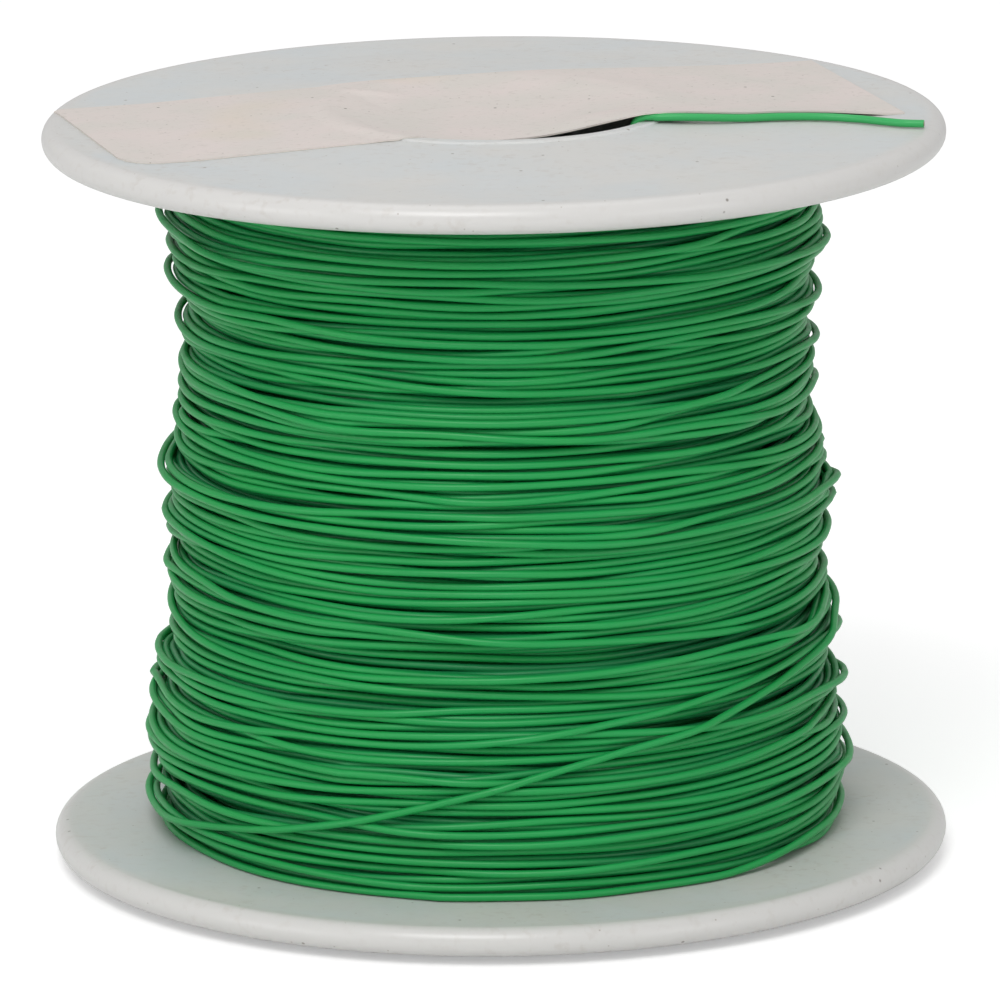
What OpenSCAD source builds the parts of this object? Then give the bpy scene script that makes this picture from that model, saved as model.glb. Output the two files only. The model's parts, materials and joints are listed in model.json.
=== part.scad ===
// Spool of fine wire-wrap wire: two moulded flanges plugged into a plain core tube,
// a package of insulated wire, a paper label over the hub and the free start end of the wire.
// Millimetres, +Z up. The origin is on the spool's axis, in the plane it rests on.

/* [Flanges] */
// Diameter of each flange
flange_d = 70; // [69:0.5:90]
// Thickness of a flange, whose rim is a full round
flange_t = 2.3; // [1.6:0.1:3]
// Diameter of the arbor bore through each flange's collar
bore_d = 25.4; // [24.6:0.1:26]
// Outside diameter of the collar, which is the lip outside and the spigot inside
collar_d = 28; // [27.8:0.1:28.4]
// Height of the lip that the collar makes, over the flat outer part of the flange's face
lip_h = 0.7; // [0.5:0.1:1.2]
// Diameter inside which the outer face rises toward the hub
dome_d = 56; // [50:1:60]
// How far the outer face has risen where it meets the lip
dome_h = 0.55; // [0.2:0.05:0.65]
// Length of the spigot that plugs into the core tube
spigot_l = 6; // [3:0.5:12]

/* [Core] */
// Outside diameter of the core tube that the wire is wound on
core_d = 30; // [30:0.5:33]
// Distance between the inner faces of the flanges
traverse = 53.2; // [40:0.2:80]

/* [Wire] */
// Diameter over the insulation
wire_d = 0.5; // [0.4:0.02:0.6]
// Diameter of the solid conductor, 30 gauge
conductor_d = 0.255; // [0.2:0.005:0.3]

/* [Winding] */
// Diameter of the wound package beside the lower flange
package_low_d = 54.4; // [48:0.2:58]
// Diameter at the package's waist, in the upper half
package_waist_d = 50.2; // [44:0.2:54]
// Diameter beside the upper flange
package_high_d = 52.6; // [46:0.2:58]

/* [Label] */
// Length of the paper label
label_l = 62; // [60:0.5:64]
// Width of the paper label
label_w = 23; // [16:0.2:24]
// Thickness of the paper
paper_t = 0.1; // [0.06:0.01:0.2]
// Thickness of the adhesive under the paper
adhesive_t = 0.03; // [0.02:0.01:0.05]
// Turn of the label about the spool's axis, in degrees
label_turn = 16.3; // [15:0.1:17.5]

/* [Hidden] */
$fn = 96;
wire_fn = 32;

// Heights, from the resting plane up
low_inner_z = lip_h + flange_t;          // inner face of the lower flange
high_inner_z = low_inner_z + traverse;   // inner face of the upper flange
face_z = high_inner_z + flange_t;        // outer face of the upper flange
lip_z = face_z + lip_h;                  // top of the upper lip

// Clearances
glue_gap = 0.02;                         // spigot in the core tube, and tube ends to flanges
wind_gap = 0.05;                         // wire package to the core and the flanges
lay_gap = 0.01;                          // wire lying on the flange
lip_round = 0.25;                        // rounding of the lip's edges

// The start end of the wire: in through the core's start hole, up the bore and out over the lip,
// all in one upright plane that turns over_turn from +X about the riser
wall_gap = 0.1;                          // riser to the bore's wall
riser = polar(bore_d / 2 - wire_d / 2 - wall_gap, -30);
swing_plan = polar(13.65, -26.8);        // where the free tail starts, over the lip
over_turn = atan2(swing_plan[1] - riser[1], swing_plan[0] - riser[0]);
over_way = [cos(over_turn), sin(over_turn)];
bend_r = 0.8;                            // bend radius of the wire's centre line
start_hole_d = 1.2;
start_hole_z = high_inner_z - spigot_l - start_hole_d;
arch = 0.06;                             // how far the wire's upper bend stands clear of the lip
over_lip_z = lip_z + arch + wire_d / 2;
lead_in_s = reach(core_d / 2 - wire_d / 2);    // from the riser to the package's inside
lead_out_s = norm(swing_plan - riser);         // from the riser to the swing pivot

// The free tail, from pivot to pivot
on_face_z = face_z + wire_d / 2 + lay_gap;
bend_r_at = 25.7;                              // distance from the axis where the tail comes down to the flange
bend_z = on_face_z + dome_at(bend_r_at) + 0.02;
tip_inset = 1.35;                              // from the cut end in to the flange's edge
swing_at = concat(swing_plan, over_lip_z);
lift_at = concat(polar(15.86, -23), over_lip_z);           // at the label's edge
bend_at = concat(polar(bend_r_at, -8.6), bend_z);
tip = concat(polar(flange_d / 2 - tip_inset, -11.3), on_face_z);
pivot_gap = 0.3;                               // from a pivot to the start of the piece that turns there

// The package's outline between its ends: a foot, a middle step and a waist, with the heights
// where each begins and ends as shares of the package's height
middle_d = (package_low_d + package_waist_d) / 2;
foot_end = 0.10;
foot_taper = [0.22, 0.5];                // share of the height, and how much the radius has dropped there
middle = [0.36, 0.52];
middle_drop = 0.1;                       // how much the radius drops over the middle step
waist = [0.58, 0.80];

// The label in its own frame: u along its length, v across it, from the spool's axis
label_u = [-31.7, label_l - 31.7];
label_v = -9.6;
lift_off_u = -28.6;                      // the label leaves the flange here
lip_edge_u = -collar_d / 2 - 0.2;        // and lies on the lip from here
wire_ramp = [1.5, 5.6];                  // it climbs from the lip to the wire
wire_end_u = 16.5;                       // it leaves the wire here
landing_u = label_u[1] - 1.6;            // and lies on the flange again from here
over_lip_h = lip_h + 0.02;               // underside of the label where it rests on the lip
over_wire_h = lip_h + arch + wire_d + 0.05;    // underside of the label where it rests on the wire

// Plan point at a radius and an angle from +X about the spool's axis
function polar(r, angle) = [r * cos(angle), r * sin(angle)];

// Height of the domed outer face over its flat part, at a radius outside the lip
function dome_at(r) = dome_h * max(0, dome_d / 2 - r) / (dome_d / 2 - collar_d / 2);

// Distance from the riser along over_way to the circle of radius r about the spool's axis
function reach(r) = let (along = riser * over_way) -along + sqrt(along * along - riser * riser + r * r);

// A flange with its collar, the flat part of its outer face down on z = 0
module flange() {
    rim_r = flange_t / 2;
    rotate_extrude() {
        polygon([
            [bore_d / 2, -dome_h], [collar_d / 2, -dome_h], [dome_d / 2, 0],
            [flange_d / 2 - rim_r, 0], [flange_d / 2 - rim_r, flange_t], [bore_d / 2, flange_t]
        ]);
        translate([flange_d / 2 - rim_r, rim_r]) circle(r = rim_r, $fn = 48);
        translate([bore_d / 2, -lip_h]) lip_and_spigot();
    }
}

// Half section of the collar from the lip's end, with the lip's two edges rounded
module lip_and_spigot() {
    wall = (collar_d - bore_d) / 2;
    translate([0, lip_round]) square([wall, lip_h + flange_t + spigot_l - lip_round]);
    translate([lip_round, 0]) square([wall - 2 * lip_round, 2 * lip_round]);
    for (x = [lip_round, wall - lip_round])
        translate([x, lip_round]) circle(r = lip_round, $fn = 32);
}

module lower_flange() {
    color("gainsboro") translate([0, 0, lip_h]) flange();
}

module upper_flange() {
    color("gainsboro") translate([0, 0, face_z]) mirror([0, 0, 1]) flange();
}

// The plain tube between the flanges, with the hole that the wire starts through
module core_tube() {
    color("whitesmoke") difference() {
        translate([0, 0, low_inner_z + glue_gap])
            cylinder(d = core_d, h = traverse - 2 * glue_gap);
        translate([0, 0, low_inner_z - 1])
            cylinder(d = collar_d + 2 * glue_gap, h = traverse + 2);
        translate([riser[0], riser[1], start_hole_z]) rotate([0, 90, over_turn])
            cylinder(d = start_hole_d, h = core_d, $fn = wire_fn);
    }
}

// The wound package as one solid of revolution, from its foot to beside the upper flange
module wire_winding() {
    bottom = low_inner_z + wind_gap;
    span = traverse - 2 * wind_gap;
    color("forestgreen") translate([0, 0, bottom]) rotate_extrude() polygon([
        [core_d / 2 + wind_gap, 0],
        [package_low_d / 2, 0],
        [package_low_d / 2, foot_end * span],
        [package_low_d / 2 - foot_taper[1], foot_taper[0] * span],
        [middle_d / 2, middle[0] * span],
        [middle_d / 2 - middle_drop, middle[1] * span],
        [package_waist_d / 2, waist[0] * span],
        [package_waist_d / 2, waist[1] * span],
        [package_high_d / 2, span],
        [core_d / 2 + wind_gap, span]
    ]);
}

// Cross-section of one layer of the wire: the insulation's ring or the conductor's disc
module section(layer) {
    difference() {
        circle(d = layer == "insulation" ? wire_d : conductor_d, $fn = wire_fn);
        if (layer == "insulation") circle(d = conductor_d, $fn = wire_fn);
    }
}

// A straight length of one layer along +Z from z = start to z = end
module straight(layer, start, end) {
    translate([0, 0, start]) linear_extrude(end - start) section(layer);
}

// As straight, with the insulation closed by a dome about z = end, where the next piece turns
module domed(layer, start, end) {
    if (layer == "conductor") straight(layer, start, end);
    else rotate_extrude($fn = wire_fn) {
        translate([conductor_d / 2, start]) square([(wire_d - conductor_d) / 2, end - start]);
        translate([0, end]) intersection() {
            circle(d = wire_d, $fn = wire_fn);
            square(wire_d);
        }
    }
}

// A quarter bend in the XZ plane from [bend_r, 0, 0] to [0, 0, bend_r]
module quarter_bend(layer) {
    translate([bend_r, 0, bend_r]) rotate([90, 0, 0]) rotate([0, 0, 180])
        rotate_extrude(angle = 90) translate([bend_r, 0]) section(layer);
}

// One layer of the wire from the package through the core, up the bore and over the lip
module lead(layer) {
    translate([riser[0], riser[1], 0]) rotate([0, 0, over_turn]) {
        translate([0, 0, start_hole_z]) {
            rotate([0, 90, 0]) straight(layer, bend_r, lead_in_s);
            quarter_bend(layer);
        }
        straight(layer, start_hole_z + bend_r, over_lip_z - bend_r);
        translate([0, 0, over_lip_z]) {
            mirror([0, 0, 1]) quarter_bend(layer);
            rotate([0, 90, 0]) domed(layer, bend_r, lead_out_s);
        }
    }
}

// One layer of a tail piece that turns about the point from and runs to the point to
module tail(layer, from, to, last = false) {
    along = to - from;
    length = norm(along);
    translate(from) rotate([0, acos(along[2] / length), atan2(along[1], along[0])])
        if (last) straight(layer, pivot_gap, length);
        else domed(layer, pivot_gap, length);
}

module lead_insulation() {
    color("limegreen") lead("insulation");
}

module lead_conductor() {
    color("silver") lead("conductor");
}

module tail_root_insulation() {
    color("limegreen") tail("insulation", swing_at, lift_at);
}

module tail_root_conductor() {
    color("silver") tail("conductor", swing_at, lift_at);
}

module tail_middle_insulation() {
    color("limegreen") tail("insulation", lift_at, bend_at);
}

module tail_middle_conductor() {
    color("silver") tail("conductor", lift_at, bend_at);
}

module tail_end_insulation() {
    color("limegreen") tail("insulation", bend_at, tip, last = true);
}

module tail_end_conductor() {
    color("silver") tail("conductor", bend_at, tip, last = true);
}

// A sheet that lies on the flange, ramps over the lip and the wire, and comes down again
module label_sheet(under, thickness) {
    path = [
        [label_u[0], 0], [lift_off_u, 0], [lip_edge_u, over_lip_h], [wire_ramp[0], over_lip_h],
        [wire_ramp[1], over_wire_h], [wire_end_u, over_wire_h], [landing_u, 0], [label_u[1], 0]
    ];
    low = [for (p = path) p + [0, under]];
    high = [for (i = [len(path) - 1:-1:0]) path[i] + [0, under + thickness]];
    translate([0, 0, face_z]) rotate([0, 0, label_turn]) translate([0, label_v + label_w, 0])
        rotate([90, 0, 0]) linear_extrude(label_w) polygon(concat(low, high));
}

module label_adhesive() {
    color("khaki") label_sheet(0, adhesive_t);
}

module label_paper() {
    color("linen") label_sheet(adhesive_t, paper_t);
}

upper_flange();
lower_flange();
core_tube();
wire_winding();
lead_insulation();
lead_conductor();
tail_root_insulation();
tail_root_conductor();
tail_middle_insulation();
tail_middle_conductor();
tail_end_insulation();
tail_end_conductor();
label_adhesive();
label_paper();
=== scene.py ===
"""A spool of green wire-wrap wire: its wound package, label and free tail, built round the CAD frame.

Working sizes are in millimetres, read from the frame; make_mesh() writes meshes in metres.
"""

import json
import math

import bpy
import numpy as np
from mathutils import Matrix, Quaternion, Vector


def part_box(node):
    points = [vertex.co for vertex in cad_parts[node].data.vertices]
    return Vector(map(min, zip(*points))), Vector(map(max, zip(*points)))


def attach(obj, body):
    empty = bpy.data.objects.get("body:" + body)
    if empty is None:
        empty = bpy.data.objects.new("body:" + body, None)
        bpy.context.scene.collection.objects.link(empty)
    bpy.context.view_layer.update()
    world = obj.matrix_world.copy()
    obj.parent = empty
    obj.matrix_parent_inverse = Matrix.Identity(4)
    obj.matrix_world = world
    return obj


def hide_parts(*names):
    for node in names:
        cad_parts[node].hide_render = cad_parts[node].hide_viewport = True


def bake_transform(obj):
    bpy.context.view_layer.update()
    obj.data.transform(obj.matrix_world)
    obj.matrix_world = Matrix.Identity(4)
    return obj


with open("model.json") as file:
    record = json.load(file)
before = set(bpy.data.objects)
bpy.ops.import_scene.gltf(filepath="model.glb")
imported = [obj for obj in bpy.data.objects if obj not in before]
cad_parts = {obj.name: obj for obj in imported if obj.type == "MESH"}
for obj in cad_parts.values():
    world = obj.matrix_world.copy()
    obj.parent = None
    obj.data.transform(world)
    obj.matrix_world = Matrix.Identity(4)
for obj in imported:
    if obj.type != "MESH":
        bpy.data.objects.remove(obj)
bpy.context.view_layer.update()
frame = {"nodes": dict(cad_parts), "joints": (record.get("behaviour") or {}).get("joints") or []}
MM = 0.001
SHARP = math.radians(60)     # faces that meet at more than this have a sharp edge between them
RINGS_PER_ROW = 180          # rings of a tube that one row of its UV map holds
UV_MARGIN = 0.05             # empty edge of such a row, as a share of its height


# ---------------------------------------------------------------- sizes from the frame


def box_mm(node):
    """Lowest and highest corner of a CAD node, in millimetres."""
    low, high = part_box(node)
    return np.array(low) / MM, np.array(high) / MM


def corners_mm(node):
    """Every vertex of a CAD node, in millimetres."""
    return np.array([v.co for v in frame["nodes"][node].data.vertices]) / MM


def pivot_mm(joint_name):
    """A joint's pivot in millimetres."""
    joint = next(j for j in frame["joints"] if j["name"] == joint_name)
    return np.array(joint["pos_m"]) / MM


def outline_of(node, inside):
    """Heights and radii of a turned CAD node's outer surface, beyond the radius inside."""
    corners = corners_mm(node)
    stations = {}
    for radius, height in zip(np.hypot(corners[:, 0], corners[:, 1]), corners[:, 2]):
        if radius > inside:
            key = round(float(height), 2)
            stations[key] = max(radius, stations.get(key, 0))
    heights = sorted(stations)
    return np.array(heights), np.array([stations[h] for h in heights])


def face_outline():
    """Radii and heights of the upper flange's outer face, from the bore's edge to the rim."""
    corners = corners_mm("upper_flange")
    radius = np.hypot(corners[:, 0], corners[:, 1]).round(2)
    radii = np.unique(radius)
    return radii, np.array([corners[radius == r, 2].max() for r in radii])


FLANGE_R = box_mm("upper_flange")[1][0]
LIP_Z = box_mm("upper_flange")[1][2]
FACE_Z = box_mm("label_adhesive")[0][2]
LIP_H = LIP_Z - FACE_Z
FACE_OUTLINE = face_outline()
CORE_R = box_mm("core_tube")[1][0]
WIND_LOW = box_mm("wire_winding")[0][2]
WIND_HIGH = box_mm("wire_winding")[1][2]
RIM_R = (WIND_LOW - LIP_H) / 2
WIRE_D = np.ptp([corner[2] for corner in box_mm("tail_end_insulation")])
CONDUCTOR_D = np.ptp([corner[2] for corner in box_mm("tail_end_conductor")])
WIRE_R = WIRE_D / 2
OUTLINE = outline_of("wire_winding", inside=CORE_R + 4)
BORE_R = FACE_OUTLINE[0][0]


# ---------------------------------------------------------------- meshes


def make_mesh(name, points, faces, material, shade=None, face_uv=None):
    """A mesh object from points in millimetres and arrays of faces, smooth up to its sharp edges.

    shade is a number for each point, by which the wire's material paints shade, and face_uv the UV of the
    first faces' corners.
    """
    points = np.asarray(points, float)
    counts = np.concatenate([np.full(len(part), part.shape[1]) for part in faces])
    loops = np.concatenate([np.asarray(part, np.int32).ravel() for part in faces])
    mesh = bpy.data.meshes.new(name)
    mesh.vertices.add(len(points))
    mesh.vertices.foreach_set("co", (points * MM).astype(np.float32).ravel())
    mesh.loops.add(len(loops))
    mesh.loops.foreach_set("vertex_index", loops)
    mesh.polygons.add(len(counts))
    mesh.polygons.foreach_set("loop_start", (np.cumsum(counts) - counts).astype(np.int32))
    if face_uv is not None:
        rest = np.zeros((len(loops) - len(face_uv), 2))
        layer = mesh.uv_layers.new(name="OFBake")
        layer.data.foreach_set("uv", np.concatenate([face_uv, rest]).astype(np.float32).ravel())
    shade = np.zeros(len(points)) if shade is None else shade
    layer = mesh.attributes.new("shade", "FLOAT", "POINT")
    layer.data.foreach_set("value", np.asarray(shade, np.float32))
    mesh.update(calc_edges=True)
    mesh.validate()
    mesh.shade_smooth()
    mesh.set_sharp_from_angle(angle=SHARP)
    piece = bpy.data.objects.new(name, mesh)
    bpy.context.scene.collection.objects.link(piece)
    piece.data.materials.append(material)
    return piece


def ring_faces(rings, sides):
    """Quads between neighbouring rings of equal sides."""
    ring = np.arange(rings - 1)[:, None] * sides
    side = np.arange(sides)[None, :]
    after = (side + 1) % sides
    corners = [ring + side, ring + after, ring + after + sides, ring + side + sides]
    return np.stack(corners, -1).reshape(-1, 4)


def cap_faces(rings, sides):
    """Triangles that close both ends of a tube; its two end centres follow the rings."""
    side = np.arange(sides)
    after = (side + 1) % sides
    first, last = rings * sides, rings * sides + 1
    start = np.stack([after, side, np.full(sides, first)], -1)
    end = np.stack([side, after, np.full(sides, last - sides)], -1) + (rings - 1) * sides
    end[:, 2] = last
    return np.concatenate([start, end])


def tube_uv(rings, sides):
    """UV of a tube's quads: rows of rings, along the tube in u and round it in v."""
    rows = math.ceil((rings - 1) / RINGS_PER_ROW)
    ring = np.repeat(np.arange(rings - 1), sides)
    side = np.tile(np.arange(sides), rings - 1)
    row, place = ring // RINGS_PER_ROW, ring % RINGS_PER_ROW
    corners = []
    for along, around in ((0, 0), (0, 1), (1, 1), (1, 0)):
        u = (place + along) / RINGS_PER_ROW
        v = (row + UV_MARGIN + (1 - 2 * UV_MARGIN) * (side + around) / sides) / rows
        corners.append(np.stack([u, v], -1))
    return np.stack(corners, 1).reshape(-1, 2)


def unit(vectors):
    """The vectors, each made one long."""
    return vectors / np.linalg.norm(vectors, axis=-1, keepdims=True)


def tube(name, centre, along, out, radius, sides, material, shade=None):
    """A closed tube about a centre line that runs along; out is a direction across it at each point."""
    across = unit(np.cross(along, out))
    out = np.cross(across, along)
    turn = 2 * np.pi * np.arange(sides) / sides
    ring = out[:, None, :] * np.cos(turn)[:, None] + across[:, None, :] * np.sin(turn)[:, None]
    points = (centre[:, None, :] + radius * ring).reshape(-1, 3)
    points = np.concatenate([points, centre[:1], centre[-1:]])
    if shade is not None:
        shade = np.concatenate([np.repeat(shade, sides), shade[:1], shade[-1:]])
    faces = [ring_faces(len(centre), sides), cap_faces(len(centre), sides)]
    return make_mesh(name, points, faces, material, shade, tube_uv(len(centre), sides))


# ---------------------------------------------------------------- the wound package

SEED = 11
STEPS = 180                  # samples in one turn of wire
CELL = 0.05                  # height of one cell of the support grid
SIDES = 8                    # sides of a wire tube
FACE_LIMIT = 90_000          # quads in one piece
FILL = 1.25                  # how far a pass raises the package, in wire diameters
FOOT_RISE = 0.85             # how much higher the bed is in the foot, in passes
PROUD = 0.3                  # how far single turns stand proud of the package
DWELL = 0.4                  # how far the guide runs past the package's ends, so that turns gather there
TUCK = 14                    # samples over which the wire's finishing end dips under its neighbours
FOOT = (11.0, 17.0)          # heights between which the loose foot of the package ends
DRIFT = 0.4                  # how far whole groups of turns drift up or down
WANDER_WIDTH = STEPS // 6    # samples over which a turn's wander is smooth
DRIFT_WIDTH = STEPS * 5      # samples over which the drift is smooth
SLACK_WIDTH = STEPS // 9     # samples over which the slack is smooth
PROBE = 0.12                 # how far to each side the slope under a turn is felt
STEEP = 1.5                  # slope beyond which a turn slides no faster
GRIP = 0.6                   # how readily a turn slides
SLIDES = 6                   # rounds in which it slides
SPREAD = 5                   # samples to each side over which its slide is evened out
RELEASE = 12                 # samples over which the wire ahead of the laid part is let go
SETTLE = 0.03                # how far smoothing may sink a turn into those below
BED_SIDES = 120              # sides of the bed under the turns
RIB_POINTS = 4               # heights in one rib of the bed
BED_GAP = 0.05               # gap between the bed and the core tube
TAUT_STRIDES = (24, 12, 6, 3, 1, 12, 3, 1)   # distances in samples over which tension lifts the wire

# Passes of the wire along the spool, from the inside out, each starting where the last ended:
# pitch, the share of the package's height where it ends, how much wider the pitch is in the foot,
# slack over the turns below, and how far a turn wanders
HIDDEN_PASSES = [(0.56, 1.0, 1.0, 0.0, 0.15), (0.60, 0.0, 1.0, 0.0, 0.2)]
SHOWN_PASSES = [
    (0.60, 1.0, 1.1, 0.0, 0.22),
    (0.62, 0.0, 1.6, 0.0, 0.26),
    (0.68, 1.0, 1.9, 0.0, 0.30),
    (4.0, 0.0, 0.5, 0.1, 0.30),
    (2.0, 0.2, 1.0, 0.25, 0.60),
]

# The last turns, by angle in degrees and height: across the front, down round the back nearly to the
# lower flange, and up across the front again, to end at the back
LAST_TURNS = [
    (-130, 14.6), (-74, 16.0), (-34, 18.5), (10, 18.0), (70, 12.0), (130, 6.0), (202, 4.9), (233, 7.4),
    (259, 10.6), (291, 14.5), (316, 16.3), (338, 18.6), (380, 20.6), (430, 21.0), (460, 20.6),
]


def smooth_noise(rng, count, width):
    """Noise of unit spread, smoothed over width samples."""
    kernel = np.exp(-0.5 * (np.arange(-4 * width, 4 * width + 1) / width) ** 2)
    raw = rng.standard_normal(count + 8 * width)
    return np.convolve(raw, kernel / np.sqrt((kernel**2).sum()), mode="same")[4 * width : 4 * width + count]


def running_mean(values, reach):
    """Mean over reach samples to each side."""
    padded = np.pad(values, reach, mode="edge")
    return np.convolve(padded, np.ones(2 * reach + 1) / (2 * reach + 1), mode="valid")


class Support:
    """The package so far: the lowest radius that a new turn's centre can have, by angle and height."""

    def __init__(self, bed):
        self.count = int(round((WIND_HIGH - WIND_LOW) / CELL)) + 1
        heights = WIND_LOW + CELL * np.arange(self.count)
        self.radius = np.tile(bed(heights), (STEPS, 1))
        self.reach = np.arange(-int(WIRE_D / CELL), int(WIRE_D / CELL) + 1)

    def at(self, steps, heights):
        """Support under each sample."""
        place = np.clip((heights - WIND_LOW) / CELL, 0, self.count - 1.001)
        cell = place.astype(int)
        part = place - cell
        step = steps % STEPS
        return self.radius[step, cell] * (1 - part) + self.radius[step, cell + 1] * part

    def lay(self, steps, heights, radii):
        """Adds wire to the package."""
        cell = np.round((heights - WIND_LOW) / CELL).astype(int)[:, None] + self.reach
        inside = (cell >= 0) & (cell < self.count)
        cell = np.clip(cell, 0, self.count - 1)
        away = WIND_LOW + CELL * cell - heights[:, None]
        top = radii[:, None] + np.sqrt(np.maximum(WIRE_D**2 - away**2, 0))
        top = np.where(inside & (np.abs(away) < WIRE_D), top, 0)
        step = np.broadcast_to((steps % STEPS)[:, None], cell.shape)
        np.maximum.at(self.radius, (step, cell), top)


def pull_taut(radii):
    """Raises each sample to the chord between its neighbours, as the wire's tension does."""
    for stride in TAUT_STRIDES:
        before, after = radii[: -2 * stride], radii[2 * stride :]
        chord = 2 * before * after * math.cos(2 * math.pi * stride / STEPS) / (before + after)
        radii[stride:-stride] = np.maximum(radii[stride:-stride], chord)
    return radii


def slide_down(steps, heights, support, laid):
    """Moves wire sideways off the tops of the turns below; the first laid samples stay."""
    ramp = np.clip((np.arange(len(heights)) - laid) / RELEASE, 0, 1) if laid else 1.0
    for _ in range(SLIDES):
        slope = (support.at(steps, heights + PROBE) - support.at(steps, heights - PROBE)) / (2 * PROBE)
        shift = -GRIP * PROBE * np.clip(slope, -STEEP, STEEP)
        shift = running_mean(running_mean(shift, SPREAD), SPREAD)
        heights = np.clip(heights + shift * ramp, WIND_LOW + WIRE_R, WIND_HIGH - WIRE_R)
    return heights


def wind(guide, slack, support):
    """Lays a guide of heights turn by turn; returns the height and radius of every sample.

    Each turn's sideways slide fades out over the overlap ahead of it, so that the wire has no jogs.
    """
    count = len(guide)
    overlap = STEPS // 4
    heights, radii = guide.copy(), np.zeros(count)
    for start in range(0, count, STEPS):
        first, last = max(start - overlap, 0), min(start + STEPS + overlap, count)
        end = min(start + STEPS, count)
        laid = start - first
        steps = np.arange(first, last)
        here = slide_down(steps, heights[first:last], support, laid)
        fade = np.clip((start + STEPS + overlap - steps) / overlap, 0, 1)
        here = heights[first:last] + fade * (here - heights[first:last])
        here[:laid] = heights[first:start]
        level = support.at(steps, here)
        level[:laid] = radii[first:start] - slack[first:start]
        level = pull_taut(level)
        level = np.maximum(running_mean(level, 2), level - SETTLE) + slack[first:last]
        heights[start:last] = here[laid:]
        radii[start:end] = level[laid : laid + end - start]
        support.lay(np.arange(start, end), heights[start:end], radii[start:end])
    return heights, radii


def package_radius(heights):
    """Radius of the package's outermost wire centres."""
    return np.interp(heights, *OUTLINE) - WIRE_R - PROUD


def foot(heights):
    """1 in the loose foot of the package, 0 above it."""
    return np.clip((FOOT[1] - heights) / (FOOT[1] - FOOT[0]), 0, 1)


def one_pass(start, end, pitch, foot_pitch, slack, wander, rng):
    """Guide and slack of one pass of the wire from the height start to the height end."""
    heights = np.linspace(start, end, 400)
    local = pitch * (1 + (foot_pitch - 1) * foot(heights))
    turn = np.concatenate([[0], np.cumsum(np.abs(np.diff(heights)) / local[1:])])
    count = int(turn[-1] * STEPS)
    guide = np.interp(np.arange(count) / STEPS, turn, heights)
    guide += wander * smooth_noise(rng, count, WANDER_WIDTH)
    guide += DRIFT * smooth_noise(rng, count, DRIFT_WIDTH)
    rise = np.clip(smooth_noise(rng, count, SLACK_WIDTH) + 0.4, 0, 2) * slack
    return guide, rise


def all_passes(rng):
    """Guide and slack of the whole length, and how many of its samples are hidden."""
    low, high = WIND_LOW + WIRE_R, WIND_HIGH - WIRE_R
    reach = high - low + 2 * DWELL
    start, made = low - DWELL, []
    for pitch, share, *rest in HIDDEN_PASSES + SHOWN_PASSES:
        end = low - DWELL + share * reach
        made.append(one_pass(start, end, pitch, *rest, rng))
        start = end
    hidden = sum(len(guide) for guide, _ in made[: len(HIDDEN_PASSES)])
    guide, slack = (np.concatenate(parts) for parts in zip(*made))
    end = last_turns(len(guide), guide[-1])
    guide, slack = np.concatenate([guide, end]), np.concatenate([slack, np.zeros(len(end))])
    return np.clip(running_mean(guide, STEPS // 20), low, high), slack, hidden


def last_turns(start, height):
    """Guide of the turns that cross the others, from the sample start at the given height on."""
    angles, heights = np.array(LAST_TURNS, float).T
    knots = (angles - angles[0]) * STEPS / 360
    wait = (angles[0] * STEPS / 360 - start) % STEPS
    return np.interp(np.arange(int(wait + knots[-1])), [0, *(wait + knots)], [height, *heights])


def bed_depth(heights, passes):
    """How deep the bed lies under the package's outline, below the given passes.

    Only passes with a pitch under 1 mm fill a whole layer.
    """
    full = sum(1 for values in passes if values[0] < 1)
    return WIRE_D * FILL * (full - FOOT_RISE * foot(heights))


def wound_package(material):
    """Winds the package's outer layers over a plain bed and puts tubes on the ones that are seen."""
    rng = np.random.default_rng(SEED)
    passes = HIDDEN_PASSES + SHOWN_PASSES
    support = Support(lambda heights: package_radius(heights) - bed_depth(heights, passes))
    guide, slack, hidden = all_passes(rng)
    heights, radii = wind(guide, slack, support)
    steps = np.arange(len(guide))
    # how deeply each sample lies under other turns, in wire diameters; the wire's material paints shade by it
    cover = (support.at(steps, heights) - radii) / WIRE_D - 1
    radii[-TUCK:] -= np.linspace(0, 1.2 * WIRE_D, TUCK)
    pieces = strand("winding", steps[hidden:], heights[hidden:], radii[hidden:], cover[hidden:], material)
    for piece in pieces:
        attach(piece, "spool")
    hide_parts("wire_winding")
    return pieces


def strand(name, steps, heights, radii, cover, material):
    """Tube pieces along one length of wound wire, each within the face limit."""
    angle = 2 * np.pi * steps / STEPS
    out = np.stack([np.cos(angle), np.sin(angle), np.zeros_like(angle)], -1)
    centre = out * radii[:, None] + np.outer(heights, [0, 0, 1])
    along = unit(np.gradient(centre, axis=0))
    # painted shade: the material darkens the wire by this depth
    shade = running_mean(np.clip(cover, 0, 3), 4)
    span = FACE_LIMIT // SIDES
    pieces = []
    for number, start in enumerate(range(0, len(steps) - 1, span)):
        part = slice(start, min(start + span + 1, len(steps)))
        title = f"{name}_{number + 1:02d}"
        pieces.append(tube(title, centre[part], along[part], out[part], WIRE_R, SIDES, material, shade[part]))
    return pieces


def winding_bed(material):
    """The ribbed inside of the package, under the turns that have tubes."""
    ribs = int((WIND_HIGH - WIND_LOW) / WIRE_D)
    heights = np.linspace(WIND_LOW, WIND_HIGH, ribs * RIB_POINTS + 1)
    swell = WIRE_R * np.abs(np.sin(np.pi * ribs * (heights - WIND_LOW) / (WIND_HIGH - WIND_LOW)))
    outer = package_radius(heights) - bed_depth(heights, SHOWN_PASSES) + swell - WIRE_D
    inner = CORE_R + BED_GAP
    profile = [(inner, WIND_LOW), *zip(outer, heights), (inner, WIND_HIGH)]
    return turned("winding_bed", profile, BED_SIDES, material)


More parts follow.
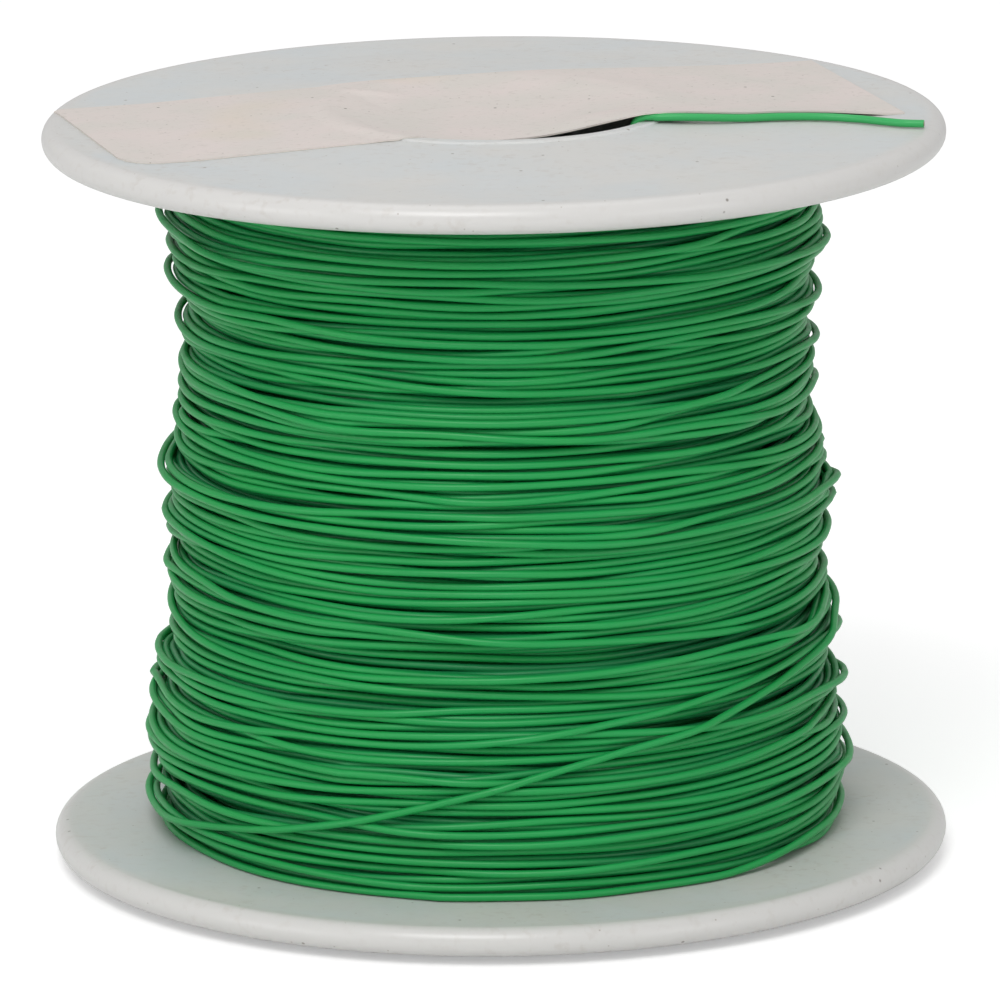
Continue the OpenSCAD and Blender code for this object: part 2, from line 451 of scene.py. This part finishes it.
def turned(name, profile, sides, material):
    """A closed ring turned from a profile of radius and height."""
    profile = np.array(profile)
    angle = 2 * np.pi * np.arange(sides) / sides
    points = np.stack([
        np.outer(profile[:, 0], np.cos(angle)),
        np.outer(profile[:, 0], np.sin(angle)),
        np.outer(profile[:, 1], np.ones(sides)),
    ], -1).reshape(-1, 3)
    faces = ring_faces(len(profile), sides)
    closing = ring_faces(2, sides)
    closing = np.where(closing < sides, closing + (len(profile) - 1) * sides, closing - sides)
    return make_mesh(name, points, [np.concatenate([faces, closing])], material)


# ---------------------------------------------------------------- the start end of the wire

# Bends of the free tail off the straight lines between its pivots: share of the way, then how far to
# the left and up
MIDDLE_BENDS = [(0.2, -0.15, 0.0), (0.45, 0.05, -0.05), (0.72, 0.3, -0.02)]
END_BENDS = [(0.3, 0.42, 0.0), (0.56, 0.05, 0.0), (0.8, -0.25, 0.0)]
BEND_R = 0.8                 # radius of the wire's bends
TAIL_SIDES = 20              # sides of its tubes
TAIL_SPACING = 0.12          # spacing of the rings along it
BEND_POINTS, RISE_POINTS = 13, 12    # points in each bend at the bore, and in the rise between them
SWING_ROOM = 0.06            # gap under the tail, which clears the dome's higher part when it swings
CUT_PROUD = 0.03             # how far the conductor stands out of the insulation where it is cut


def spline(knots, spacing):
    """Catmull-Rom curve through the knots, with points about spacing apart."""
    knots = np.array(knots)
    ends = np.concatenate([[2 * knots[0] - knots[1]], knots, [2 * knots[-1] - knots[-2]]])
    points = []
    for a, b, c, d in zip(ends, ends[1:], ends[2:], ends[3:]):
        count = max(int(np.linalg.norm(c - b) / spacing), 2)
        t = np.arange(count)[:, None] / count
        points.append(0.5 * (2 * b + (c - a) * t + (2 * a - 5 * b + 4 * c - d) * t**2
                             + (3 * b - a - 3 * c + d) * t**3))
    return np.concatenate([*points, knots[-1:]])


def bent(start, end, bends):
    """Points beside the straight line from start to end."""
    way = end - start
    left = np.array([-way[1], way[0], 0]) / np.hypot(way[0], way[1])
    return [start + share * way + side * left + np.array([0, 0, up]) for share, side, up in bends]


def start_end_line():
    """Centre line of the wire from inside the package, up the bore and over the lip to its cut end."""
    swing, lift, curl = (pivot_mm(name) for name in ("tail_swing", "tail_lift", "tail_curl"))
    lead = corners_mm("lead_insulation")
    upright = lead[lead[:, 0] < lead[:, 0].min() + WIRE_D]
    riser = (upright.min(0) + upright.max(0)) / 2
    riser[2] = lead[:, 2].min() + WIRE_R
    way = unit((swing - riser) * (1, 1, 0))
    up = np.array([0, 0, 1.0])
    along = riser[:2] @ way[:2]
    inside = math.sqrt(along**2 - riser[:2] @ riser[:2] + (CORE_R - WIRE_R) ** 2) - along
    tip = corners_mm("tail_end_conductor")
    tip = tip[tip[:, 0] > tip[:, 0].max() - CONDUCTOR_D / 2].mean(0)
    tip[2] = curl[2]
    arc = np.radians(np.linspace(0, 90, BEND_POINTS))[:, None]
    low_bend = riser + BEND_R * ((1 - np.sin(arc)) * way + (1 - np.cos(arc)) * up)
    over = riser + (swing[2] - riser[2]) * up
    high_bend = over + BEND_R * ((1 - np.cos(arc)) * way - (1 - np.sin(arc)) * up)
    rise = np.linspace(low_bend[-1], high_bend[0], RISE_POINTS)[1:-1]
    middle, end = bent(lift, curl, MIDDLE_BENDS), bent(curl, tip, END_BENDS)
    tail = [high_bend[-1], swing, lift, *middle, curl, *end, tip]
    tail = spline(tail, TAIL_SPACING)
    on_face = np.interp(np.hypot(tail[:, 0], tail[:, 1]), *FACE_OUTLINE) + WIRE_R + SWING_ROOM
    tail[:, 2] = np.maximum(tail[:, 2], on_face)
    return np.concatenate([[riser + inside * way, *low_bend, *rise, *high_bend[:-1]], tail])


def level_across(line):
    """A direction across a line that never turns sharply: carried along from its start."""
    along = unit(np.gradient(line, axis=0))
    out = [np.array([0, 0, 1.0])]
    for direction in along[1:]:
        last = out[-1] - direction * (out[-1] @ direction)
        out.append(last / np.linalg.norm(last))
    return np.array(out)


def start_end(line, insulation, conductor):
    """The wire's start end in three lengths, each holding one pivot."""
    along, out = unit(np.gradient(line, axis=0)), level_across(line)
    joints = frame["joints"]
    pivots = [pivot_mm(joint["name"]) for joint in joints]
    nearest = [int(np.argmin(np.linalg.norm(line - pivot, axis=1))) for pivot in pivots]
    cuts = [0, *((a + b) // 2 for a, b in zip(nearest, nearest[1:])), len(line) - 1]
    for number, joint in enumerate(joints):
        part = slice(cuts[number], cuts[number + 1] + 1)
        for layer, diameter, material in (
            ("insulation", WIRE_D, insulation),
            ("conductor", CONDUCTOR_D, conductor),
        ):
            name = f"start_end_{layer}_{number + 1}"
            centre = line[part].copy()
            if layer == "conductor" and number == len(joints) - 1:
                centre[-1] += CUT_PROUD * along[-1]
            piece = tube(name, centre, along[part], out[part], diameter / 2, TAIL_SIDES, material)
            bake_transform(piece)
            nodes = [f"{joint['child']}_{layer}"]
            if number == 0:
                nodes.append(f"lead_{layer}")
            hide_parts(*nodes)


# ---------------------------------------------------------------- the label

LABEL_CELL = 0.4             # spacing of the label's grid
LABEL_CORNER = 3.0           # radius of its worn near corner
PAPER_T, ADHESIVE_T = 0.10, 0.03     # thickness of the paper and of its adhesive
LIE = 0.01                   # gap between the label and what it lies on
SAG = 0.0050                 # how strongly the paper sags over the open bore, per millimetre
SAG_HELD = 0.002             # how strongly it sags elsewhere
ROUNDS = 3000                # rounds in which it comes to rest
PIT = -3.0                   # height that stands for the open bore
STIFF = 4                    # reach of the paper's stiffness, in cells
STUCK_LEFT, STUCK_RIGHT = 21.5, 3.0  # lengths at its ends that are stuck down
TENT_SLOPE = 0.17            # the steepest slope at which the stiff paper leaves the wire

# Creases that the paper took when it was pressed over the lip: both ends, each along and across the
# label, then height and width
CREASES = [
    ((-9.6, 9.9), (-5.4, 8.4), 0.22, 0.55),
    ((-9.4, 9.0), (-12.6, 3.0), 0.10, 0.7),
    ((-12.6, 3.0), (-11.4, -9.0), 0.12, 0.8),
    ((-8.4, 8.6), (-7.2, 3.4), -0.10, 0.6),
    ((6.5, 9.5), (12.2, 2.5), 0.08, 1.2),
    ((3.0, -7.5), (9.5, -4.0), 0.10, 1.0),
]


def label_frame():
    """The label's long direction and its lowest and highest corner along and across it."""
    plan = corners_mm("label_paper")[:, :2]
    way = np.linalg.svd(plan - plan.mean(0), full_matrices=False)[2][0]
    way = way if way[0] > 0 else -way
    across = np.array([-way[1], way[0]])
    local = np.stack([plan @ way, plan @ across], -1)
    return way, across, local.min(0), local.max(0)


def ground_height(plan, wire_line):
    """Height over the flange's flat face of what holds the label up at each plan point: face or wire."""
    radii, heights = FACE_OUTLINE
    height = np.interp(np.linalg.norm(plan, axis=-1), radii, heights - FACE_Z, left=PIT)
    away = np.linalg.norm(plan[..., None, :] - wire_line[:, :2], axis=-1)
    top = wire_line[:, 2] + WIRE_R - FACE_Z - TENT_SLOPE * away
    return np.maximum(height, top.max(-1)) + LIE


def creased(u, v):
    """Height that the creases add at places along and across the label, most in the middle of each."""
    place = np.stack([u, v], -1)
    total = np.zeros(u.shape)
    for start, end, height, width in CREASES:
        way = np.subtract(end, start)
        share = np.clip((place - start) @ way / (way @ way), 0, 1)
        away = np.linalg.norm(place - start - share[..., None] * way, axis=-1)
        total += height * np.exp(-((away / width) ** 2)) * np.sin(np.pi * (0.15 + 0.7 * share))
    return total


def neighbour_mean(height):
    """Mean of the four neighbours of each place in a grid."""
    padded = np.pad(height, 1, mode="edge")
    return (padded[2:, 1:-1] + padded[:-2, 1:-1] + padded[1:-1, 2:] + padded[1:-1, :-2]) / 4


def draped(ground, stuck, sag):
    """Height of a sheet stretched over the ground, held down where stuck, then softened by its stiffness."""
    height = np.where(stuck, ground, np.maximum(ground, LIP_H))
    for _ in range(ROUNDS):
        height = np.where(stuck, ground, np.maximum(ground, neighbour_mean(height) - sag))
    for _ in range(STIFF):
        soft = height
        for _ in range(STIFF):
            soft = neighbour_mean(soft)
        height = np.where(stuck, ground, np.maximum(ground, soft))
    return height


def label_grid(wire_line):
    """Plan points and heights of the label's underside."""
    way, across, low, high = label_frame()
    columns = int((high[0] - low[0]) / LABEL_CELL) + 1
    rows = int((high[1] - low[1]) / LABEL_CELL) + 1
    u = np.linspace(low[0], high[0], columns)[:, None]
    from_end = np.clip(LABEL_CORNER - (u - low[0]), 0, LABEL_CORNER)
    near = low[1] + LABEL_CORNER - np.sqrt(LABEL_CORNER**2 - from_end**2)
    v = near + (high[1] - near) * np.linspace(0, 1, rows)[None, :]
    u = np.broadcast_to(u, v.shape)
    plan = u[..., None] * way + v[..., None] * across
    ground = ground_height(plan, wire_line)
    over_bore = np.linalg.norm(plan, axis=-1) < BORE_R
    stuck = ((u < low[0] + STUCK_LEFT) | (u > high[0] - STUCK_RIGHT)) & ~over_bore
    sag = np.where(over_bore, SAG, SAG_HELD) * LABEL_CELL**2
    return plan, np.maximum(draped(ground, stuck, sag) + creased(u, v), ground)


def label(wire_line, paper, adhesive):
    """The paper label and the adhesive under it, draped over the lip and the wire."""
    plan, height = label_grid(wire_line)
    for node, form, low, high, material in (
        ("label_adhesive", "film", 0.0, ADHESIVE_T, adhesive),
        ("label_paper", "sheet", ADHESIVE_T, ADHESIVE_T + PAPER_T, paper),
    ):
        piece = sheet(f"{node}_{form}", plan, FACE_Z + height + low, FACE_Z + height + high, material)
        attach(piece, "spool")
        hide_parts(node)


def sheet(name, plan, bottom, top, material):
    """A closed sheet between two height grids over the same plan grid."""
    columns, rows = bottom.shape
    points = np.concatenate([
        np.concatenate([plan, top[..., None]], -1).reshape(-1, 3),
        np.concatenate([plan, bottom[..., None]], -1).reshape(-1, 3),
    ])
    index = np.arange(columns * rows).reshape(columns, rows)
    top_faces = np.stack([index[:-1, :-1], index[1:, :-1], index[1:, 1:], index[:-1, 1:]], -1).reshape(-1, 4)
    under = top_faces[:, ::-1] + columns * rows
    border = np.concatenate([index[:-1, 0], index[-1, :-1], index[:0:-1, -1], index[0, :0:-1]])
    after = np.roll(border, -1)
    sides = np.stack([after, border, border + columns * rows, after + columns * rows], -1)
    return make_mesh(name, points, [np.concatenate([top_faces, under]), sides], material)


# ---------------------------------------------------------------- materials


class Shader:
    """A material's principled surface, and short calls for the nodes that feed it."""

    def __init__(self, name):
        self.material = bpy.data.materials.new(name)
        self.material.use_nodes = True
        self.tree = self.material.node_tree
        self.surface = self.tree.nodes["Principled BSDF"]
        self.place = self.add("ShaderNodeTexCoord", {}, "Object")

    def feed(self, node, inputs):
        """Sets or links a node's inputs by name."""
        for key, value in inputs.items():
            if isinstance(value, bpy.types.NodeSocket):
                self.tree.links.new(value, node.inputs[key])
            else:
                node.inputs[key].default_value = value

    def add(self, kind, inputs, output=0, **settings):
        """Adds a node and returns one of its outputs."""
        node = self.tree.nodes.new(kind)
        for key, value in settings.items():
            setattr(node, key, value)
        self.feed(node, inputs)
        return node.outputs[output]

    def noise(self, size, detail=2.0, stretch=(1, 1, 1)):
        """Noise whose features are about size millimetres, longer along a stretched axis."""
        scale = tuple(1 / (size * MM * s) for s in stretch)
        place = self.add("ShaderNodeMapping", {"Vector": self.place, "Scale": scale})
        return self.add("ShaderNodeTexNoise", {"Vector": place, "Scale": 1.0, "Detail": detail}, "Fac")

    def specks(self, spacing, size, share):
        """1 in small round specks, 0 elsewhere; only a share of the cells has one."""
        inputs = {0: self.place, "Scale": 1 / (spacing * MM)}
        place = self.add("ShaderNodeVectorMath", inputs, operation="SCALE")
        cells = self.tree.nodes.new("ShaderNodeTexVoronoi")
        self.feed(cells, {"Vector": place, "Scale": 1.0})
        chosen = self.add("ShaderNodeSeparateColor", {"Color": cells.outputs["Color"]})
        chosen = self.math("LESS_THAN", chosen, share)
        near = self.fade(cells.outputs["Distance"], size / spacing, 0.6 * size / spacing)
        return self.math("MULTIPLY", near, chosen)

    def math(self, operation, a, b):
        """The result of a math node."""
        return self.add("ShaderNodeMath", {0: a, 1: b}, operation=operation)

    def fade(self, value, start, end, low=0.0, high=1.0):
        """low where value is start, high where it is end."""
        inputs = {"Value": value, "From Min": start, "From Max": end, "To Min": low, "To Max": high}
        return self.add("ShaderNodeMapRange", inputs)

    def mix(self, share, a, b):
        """Colour a turning into b as share goes from 0 to 1."""
        node = self.tree.nodes.new("ShaderNodeMix")
        node.data_type = "RGBA"
        for socket, value in ((node.inputs[0], share), (node.inputs[6], a), (node.inputs[7], b)):
            if isinstance(value, bpy.types.NodeSocket):
                self.tree.links.new(value, socket)
            else:
                socket.default_value = value if isinstance(value, float) else (*value, 1)
        return node.outputs[2]

    def mix_value(self, share, a, b):
        """Number a turning into b as share goes from 0 to 1."""
        return self.add("ShaderNodeMix", {0: share, 2: a, 3: b}, data_type="FLOAT")

    def bump(self, height, distance):
        """A normal from a height of 0 to 1 that stands for distance millimetres."""
        return self.add("ShaderNodeBump", {"Height": height, "Distance": distance * MM, "Strength": 1.0})

    def finish(self, **inputs):
        """Feeds the surface, with words joined by _, and returns the material."""
        self.feed(self.surface, {key.replace("_", " "): value for key, value in inputs.items()})
        return self.material


def wire_green(name, painted_light):
    """Extruded green insulation with a satin sheen: painted shade darkens the turns that lie under others,
    and a share of painted light makes a lighter copy.
    """
    s = Shader(name)
    # painted shade: the shade attribute, how deeply a turn lies under other turns, sets how much darker it is
    # drawn
    cover = s.fade(s.add("ShaderNodeAttribute", {}, "Fac", attribute_name="shade"), 0.2, 2.2)
    colour = s.mix(s.noise(9.0), (0.007, 0.285, 0.066), (0.012, 0.34, 0.078))
    colour = s.mix(s.fade(s.noise(6.0), 0.35, 0.65, 0.0, 0.3), colour, (0.017, 0.31, 0.060))
    # painted shade: a darker, bluer green on turns that lie under others
    colour = s.mix(cover, colour, (0.012, 0.24, 0.073))
    # painted light: mixes the colour towards a lighter green by the given share, for the free tail's lit copy
    colour = s.mix(painted_light, colour, (0.070, 0.50, 0.160))
    return s.finish(
        Base_Color=colour,
        Roughness=s.fade(s.noise(1.5), 0.3, 0.7, 0.34, 0.46),
        Normal=s.bump(s.noise(0.4), 0.004),
        IOR=1.42,
    )


def flange_white():
    """Natural moulded plastic: cool satin faces with dust and smudges, and a smoother warm rim."""
    s = Shader("flange_white")
    plan = s.add("ShaderNodeVectorMath", {0: s.place, 1: (1, 1, 0)}, operation="MULTIPLY")
    radius = s.add("ShaderNodeVectorMath", {0: plan}, "Value", operation="LENGTH")
    rim = s.fade(radius, (FLANGE_R - 1.6 * RIM_R) * MM, (FLANGE_R - 0.8 * RIM_R) * MM)
    face = s.mix(s.fade(s.noise(9.0, 3.0), 0.35, 0.65), (0.61, 0.635, 0.64), (0.64, 0.635, 0.615))
    colour = s.mix(rim, face, (0.64, 0.63, 0.615))
    dirt = s.fade(s.noise(16.0, 2.0), 0.4, 0.7, 0.12, 0.5)
    smudge = s.math("MULTIPLY", s.fade(s.noise(0.8, 5.0), 0.54, 0.72), dirt)
    colour = s.mix(smudge, colour, (0.50, 0.46, 0.42))
    colour = s.mix(s.specks(0.8, 0.09, 0.25), colour, (0.44, 0.41, 0.38))
    colour = s.mix(s.specks(1.7, 0.16, 0.2), colour, (0.30, 0.28, 0.26))
    return s.finish(
        Base_Color=colour,
        Roughness=s.mix_value(rim, s.fade(s.noise(2.5), 0.3, 0.7, 0.42, 0.55), 0.28),
        Normal=s.bump(s.noise(0.7, 3.0), 0.006),
        Subsurface_Weight=0.25,
        Subsurface_Radius=(1.0, 1.0, 0.95),
        Subsurface_Scale=2.0 * MM,
        IOR=1.49,
    )


def core_white():
    """Extruded tube: white plastic with faint lines along its length."""
    s = Shader("core_white")
    lines = s.noise(0.6, 2.0, (1, 1, 40))
    return s.finish(
        Base_Color=s.mix(lines, (0.70, 0.71, 0.70), (0.76, 0.76, 0.74)),
        Roughness=s.fade(lines, 0.3, 0.7, 0.35, 0.5),
        Normal=s.bump(lines, 0.01),
    )


def label_white():
    """Uncoated off-white paper with fibres, flecks and faint stains."""
    s = Shader("label_white")
    colour = s.mix(s.fade(s.noise(5.0, 3.0), 0.35, 0.65), (0.70, 0.63, 0.60), (0.66, 0.62, 0.58))
    colour = s.mix(s.fade(s.noise(14.0), 0.6, 0.75, 0.0, 0.35), colour, (0.70, 0.60, 0.46))
    colour = s.mix(s.fade(s.noise(0.5, 4.0), 0.58, 0.72, 0.0, 0.3), colour, (0.44, 0.40, 0.36))
    colour = s.mix(s.specks(0.9, 0.10, 0.35), colour, (0.40, 0.36, 0.32))
    colour = s.mix(s.specks(2.4, 0.16, 0.25), colour, (0.18, 0.15, 0.13))
    return s.finish(
        Base_Color=colour,
        Roughness=s.fade(s.noise(1.0), 0.3, 0.7, 0.75, 0.92),
        Normal=s.bump(s.noise(0.25, 3.0, (3, 1, 1)), 0.02),
    )


def adhesive_yellow():
    """The label's pressure-sensitive film, slightly yellow and cloudy."""
    s = Shader("adhesive_yellow")
    return s.finish(
        Base_Color=s.mix(s.noise(1.5, 3.0), (0.72, 0.68, 0.58), (0.76, 0.72, 0.64)),
        Roughness=s.fade(s.noise(0.8), 0.3, 0.7, 0.3, 0.5),
    )


def conductor_metal():
    """Silver-plated copper, dull brown where it is cut."""
    s = Shader("conductor_metal")
    return s.finish(
        Base_Color=s.mix(s.noise(0.15, 3.0), (0.24, 0.15, 0.09), (0.40, 0.31, 0.24)),
        Metallic=0.9,
        Roughness=s.fade(s.noise(0.2), 0.3, 0.7, 0.35, 0.6),
    )


# ---------------------------------------------------------------- studio


def soft_light(name, place, aim, size, power):
    """A square soft light; place and aim in metres."""
    data = bpy.data.lights.new(name, "AREA")
    data.shape = "SQUARE"
    data.size = size
    data.energy = power
    light = bpy.data.objects.new(name, data)
    light.location = place
    light.rotation_mode = "QUATERNION"
    light.rotation_quaternion = (Vector(aim) - Vector(place)).to_track_quat("-Z", "Y")
    bpy.context.scene.collection.objects.link(light)


def pale_surroundings():
    """A world that lights softly and looks white."""
    world = bpy.data.worlds.new("studio")
    world.use_nodes = True
    tree = world.node_tree
    background = tree.nodes["Background"]
    seen = tree.nodes.new("ShaderNodeLightPath").outputs["Is Camera Ray"]
    strength = tree.nodes.new("ShaderNodeMapRange")
    strength.inputs["To Min"].default_value = 0.53
    strength.inputs["To Max"].default_value = 1.0
    tree.links.new(seen, strength.inputs["Value"])
    tree.links.new(strength.outputs[0], background.inputs["Strength"])
    background.inputs["Color"].default_value = (1, 1, 1, 1)
    return world


def studio():
    """Pale floor, pale surroundings and soft lights; the floor glows a little for the camera only."""
    scene = bpy.context.scene
    scene.view_settings.view_transform = "Standard"
    scene.world = pale_surroundings()
    middle = (0, 0, 0.03)
    soft_light("key", (-0.15, -0.65, 0.75), middle, 0.45, 3.6)
    soft_light("left", (-0.85, -0.55, 0.20), middle, 0.5, 1.6)
    soft_light("right", (0.75, -0.65, 0.20), middle, 0.5, 1.1)
    soft_light("top", (0.0, 0.2, 0.9), middle, 0.6, 1.1)
    size = 3.0
    corners = [(-size, -size, 0), (size, -size, 0), (size, size, 0), (-size, size, 0)]
    mesh = bpy.data.meshes.new("floor")
    mesh.from_pydata(corners, [], [(0, 1, 2, 3)])
    floor = bpy.data.objects.new("floor", mesh)
    scene.collection.objects.link(floor)
    s = Shader("floor_white")
    seen = s.add("ShaderNodeLightPath", {}, "Is Camera Ray")
    glow = s.math("MULTIPLY", seen, 0.34)
    mesh.materials.append(s.finish(
        Base_Color=(0.9, 0.9, 0.9, 1), Roughness=0.9, Emission_Color=(1, 1, 1, 1), Emission_Strength=glow,
    ))


def camera():
    """A long lens at the height and distance of the photograph's view."""
    elevation, distance, roll = math.radians(13.14), 0.76, math.radians(-0.585)
    height = 29.6 * MM
    aim = Vector((0.195, 0, 28.02)) * MM
    data = bpy.data.cameras.new("camera")
    data.sensor_width = 36.0
    data.lens = 350.6
    data.clip_start, data.clip_end = 0.01, 10
    view = bpy.data.objects.new("camera", data)
    view.location = (0, -distance * math.cos(elevation), height + distance * math.sin(elevation))
    view.rotation_mode = "QUATERNION"
    view.rotation_quaternion = (aim - view.location).to_track_quat("-Z", "Y") @ Quaternion((0, 0, 1), roll)
    bpy.context.scene.collection.objects.link(view)
    bpy.context.scene.camera = view


# ---------------------------------------------------------------- the object


def finish_node(name, material):
    """Gives a CAD node its material."""
    slots = frame["nodes"][name].data.materials
    slots.clear()
    slots.append(material)


green, white = wire_green("wire_green", 0.0), flange_white()
for flange in ("upper_flange", "lower_flange"):
    finish_node(flange, white)
finish_node("core_tube", core_white())
wound_package(green)
bed = winding_bed(green)
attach(bed, "spool")
wire_line = start_end_line()
# the free tail takes the wire copy with painted light
start_end(wire_line, wire_green("wire_green_painted_light", 0.5), conductor_metal())
label(wire_line, label_white(), adhesive_yellow())
studio()
camera()
